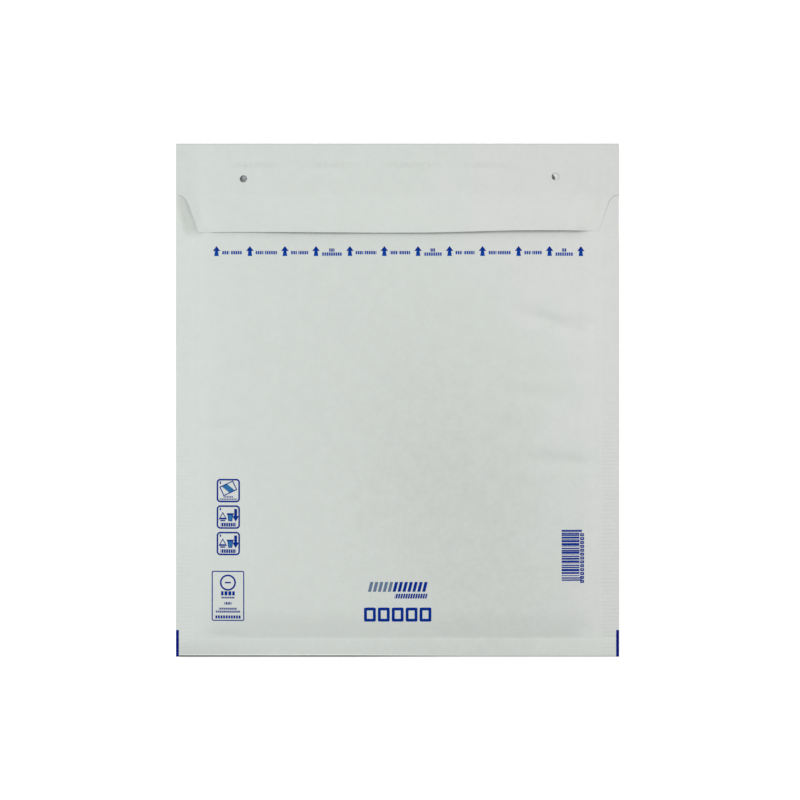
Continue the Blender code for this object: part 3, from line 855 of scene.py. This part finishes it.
FILM_PITCH, FILM_FOLD_PITCH = 1.75 * MM, 0.1 * MM
film_length = FILM_BACK_RUN + FILM_FRONT_RUN
film_runs = joined(
    evenly(0, FILM_FRONT_RUN, FILM_PITCH),
    evenly(FILM_FRONT_RUN, FILM_BACK_RUN, FILM_FOLD_PITCH),
    evenly(FILM_BACK_RUN, film_length, FILM_PITCH),
)
film_columns = across_padding(HALF_WIDTH - FILM_TRIM, FILM_PITCH)
liner = plate("bubble_film_pocket", film_columns, FILM_MOUTH.y - film_runs, FILM_SEAL)
map_flat(liner, FILM_SEAL)
place = coordinates(liner)
move(liner, on_film(place[:, 0], FILM_MOUTH.y - place[:, 1], place[:, 2] > -FILM_SEAL / 2))
smooth(liner, 50)
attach(liner, "root")
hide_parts("bubble_liner")

film, tree = new_material("bubble_film")
flat = tree.node("ShaderNodeUVMap", {"uv_map": "flat"})
cloudy = flat.noise(9 * MM, detail=3.0)
streaks = flat.noise(1.4 * MM, roughness=0.7)
wrinkles = streaks * (0.03 * MM) + cloudy * (0.05 * MM)
bump = flat.node("ShaderNodeBump", {}, {"Strength": 1.0, "Distance": 1.0, "Height": wrinkles})
finish(
    tree,
    {
        "Base Color": cloudy.mix((0.70, 0.75, 0.78, 1), (0.86, 0.89, 0.90, 1)),
        "Roughness": 0.16 + streaks * 0.2,
        "Transmission Weight": 0.4,
        "IOR": 1.5,
        "Normal": bump,
    },
)
liner.data.materials.append(film)

# Adhesive band: pale hot melt, drawn in lines along the inside of the flap as one continuous strip.
# It bows with the flap, and the photo shows it only as a brighter step.
ADHESIVE, STRIP_GAP = 0.1 * MM, 0.05 * MM
STRIP_PITCH_X, STRIP_PITCH_Y = 2 * MM, 1.5 * MM
ADHESIVE_DEPTH = PAPER + STRIP_GAP


def under_flap(piece, depth):
    """Lays a level strip under the flap, its upper face depth below the flap's outer face."""
    place = coordinates(piece)
    x, y = place[:, 0], place[:, 1]
    place[:, 2] += flap_height(x, y) - depth
    move(piece, place)


def closure_strip(name, node, depth, thickness):
    """A strip as long and as wide as its CAD solid."""
    low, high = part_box(node)
    columns, rows = evenly(low.x, high.x, STRIP_PITCH_X), evenly(low.y, high.y, STRIP_PITCH_Y)
    made = plate(name, columns, rows, thickness)
    under_flap(made, depth)
    smooth(made)
    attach(made, "root")
    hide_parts(node)
    return made


melt_band = closure_strip("hot_melt_band", "adhesive_band", ADHESIVE_DEPTH, ADHESIVE)

melt, tree = new_material("hot_melt")
spot = tree.node("ShaderNodeTexCoord", {}, output=3)
drawn = spot.node("ShaderNodeMapping", {}, {"Vector": spot, "Scale": (0.15, 1, 1)})
lines = drawn.noise(1.2 * MM, detail=3.0)
bump = spot.node("ShaderNodeBump", {}, {"Distance": 1.0, "Height": lines * (0.05 * MM)})
finish(
    tree,
    {
        "Base Color": lines.mix((0.66, 0.62, 0.49, 1), (0.80, 0.78, 0.68, 1)),
        "Roughness": 0.26 + lines * 0.2,
        "Normal": bump,
    },
)
melt_band.data.materials.append(melt)

# Release paper: the silicone coated strip that covers the adhesive until the envelope is used. It
# is wider than the band all round, and lies right under it.
RELEASE = 0.1 * MM
RELEASE_DEPTH = ADHESIVE_DEPTH + ADHESIVE + STRIP_GAP
release = closure_strip("release_paper_strip", "release_strip", RELEASE_DEPTH, RELEASE)

glazed, tree = new_material("release_paper")
spot = tree.node("ShaderNodeTexCoord", {}, output=3)
mottled = spot.noise(4 * MM, detail=4.0)
bump = spot.node("ShaderNodeBump", {}, {"Distance": 1.0, "Height": mottled * (0.02 * MM)})
finish(
    tree,
    {
        "Base Color": mottled.mix((0.66, 0.68, 0.64, 1), (0.78, 0.80, 0.76, 1)),
        "Roughness": 0.34 + mottled * 0.2,
        "Normal": bump,
    },
)
release.data.materials.append(glazed)

# Studio: a white sweep that the camera sees as plain white but for the envelope's faint shadow
AMBIENT, SWEEP_GLOW, SWEEP_DROP = 0.485, 0.6, 0.1 * MM
bpy.ops.mesh.primitive_plane_add(size=8, location=(0, 0, -SWEEP_DROP))
floor = bpy.context.object
floor.name = floor.data.name = "studio_floor"


def seen(tree):
    """1 for what the camera sees, also in a reflection or through glass."""
    path = tree.node("ShaderNodeLightPath")
    mirrored = path.output("Is Glossy Ray").most(path.output("Is Transmission Ray"))
    return path.output("Is Camera Ray").most(mirrored)


sweep, tree = new_material("white_sweep")
lit = tree.node("ShaderNodeBsdfDiffuse", {}, {"Color": (0.8, 0.8, 0.8, 1)})
glow = tree.node("ShaderNodeEmission", {}, {"Strength": seen(tree) * SWEEP_GLOW})
both = tree.node("ShaderNodeAddShader", {}, {0: lit, 1: glow})
tree.node("ShaderNodeOutputMaterial", {}, {"Surface": both})
floor.data.materials.append(sweep)

world = bpy.data.worlds.new("white_room")
bpy.context.scene.world = world
world.use_nodes = True
world.node_tree.nodes.clear()
room = Wire(world.node_tree)
room_light = room.node(
    "ShaderNodeBackground",
    {},
    {"Color": (1, 1, 1, 1), "Strength": AMBIENT + seen(room) * (1 - AMBIENT)},
)
room.node("ShaderNodeOutputWorld", {}, {"Surface": room_light})

# Softboxes, each with its place, its side, its watts and its colour
SOFTBOXES = {
    "upper_left_softbox": ((-1.25, 0.75, 2.1), 1.0, 31, (1, 1, 1)),
    "right_softbox": ((1.2, 0.1, 1.0), 0.7, 6, (1, 0.92, 0.88)),
}
for name, (spot, side, watts, colour) in SOFTBOXES.items():
    bpy.ops.object.light_add(type="AREA", location=spot)
    lamp = bpy.context.object
    lamp.name = name
    lamp.data.size, lamp.data.energy, lamp.data.color = side, watts, colour
    lamp.rotation_euler = (-Vector(spot)).to_track_quat("-Z", "Y").to_euler()

# Camera: looking straight down from a little right of the envelope's middle, so high above the
# seams that 800 pixels take in 433 mm there
CAMERA_X, CAMERA_Y, CAMERA_HEIGHT = 1.35 * MM, 0.03 * MM, 1.204
bpy.ops.object.camera_add(location=(CAMERA_X, CAMERA_Y, SEAM_Z + CAMERA_HEIGHT))
camera = bpy.context.object
camera.rotation_euler = (0, 0, 0)
camera.data.lens, camera.data.sensor_width = 100, 36
bpy.context.scene.camera = camera
bpy.context.scene.view_settings.view_transform = "Standard"
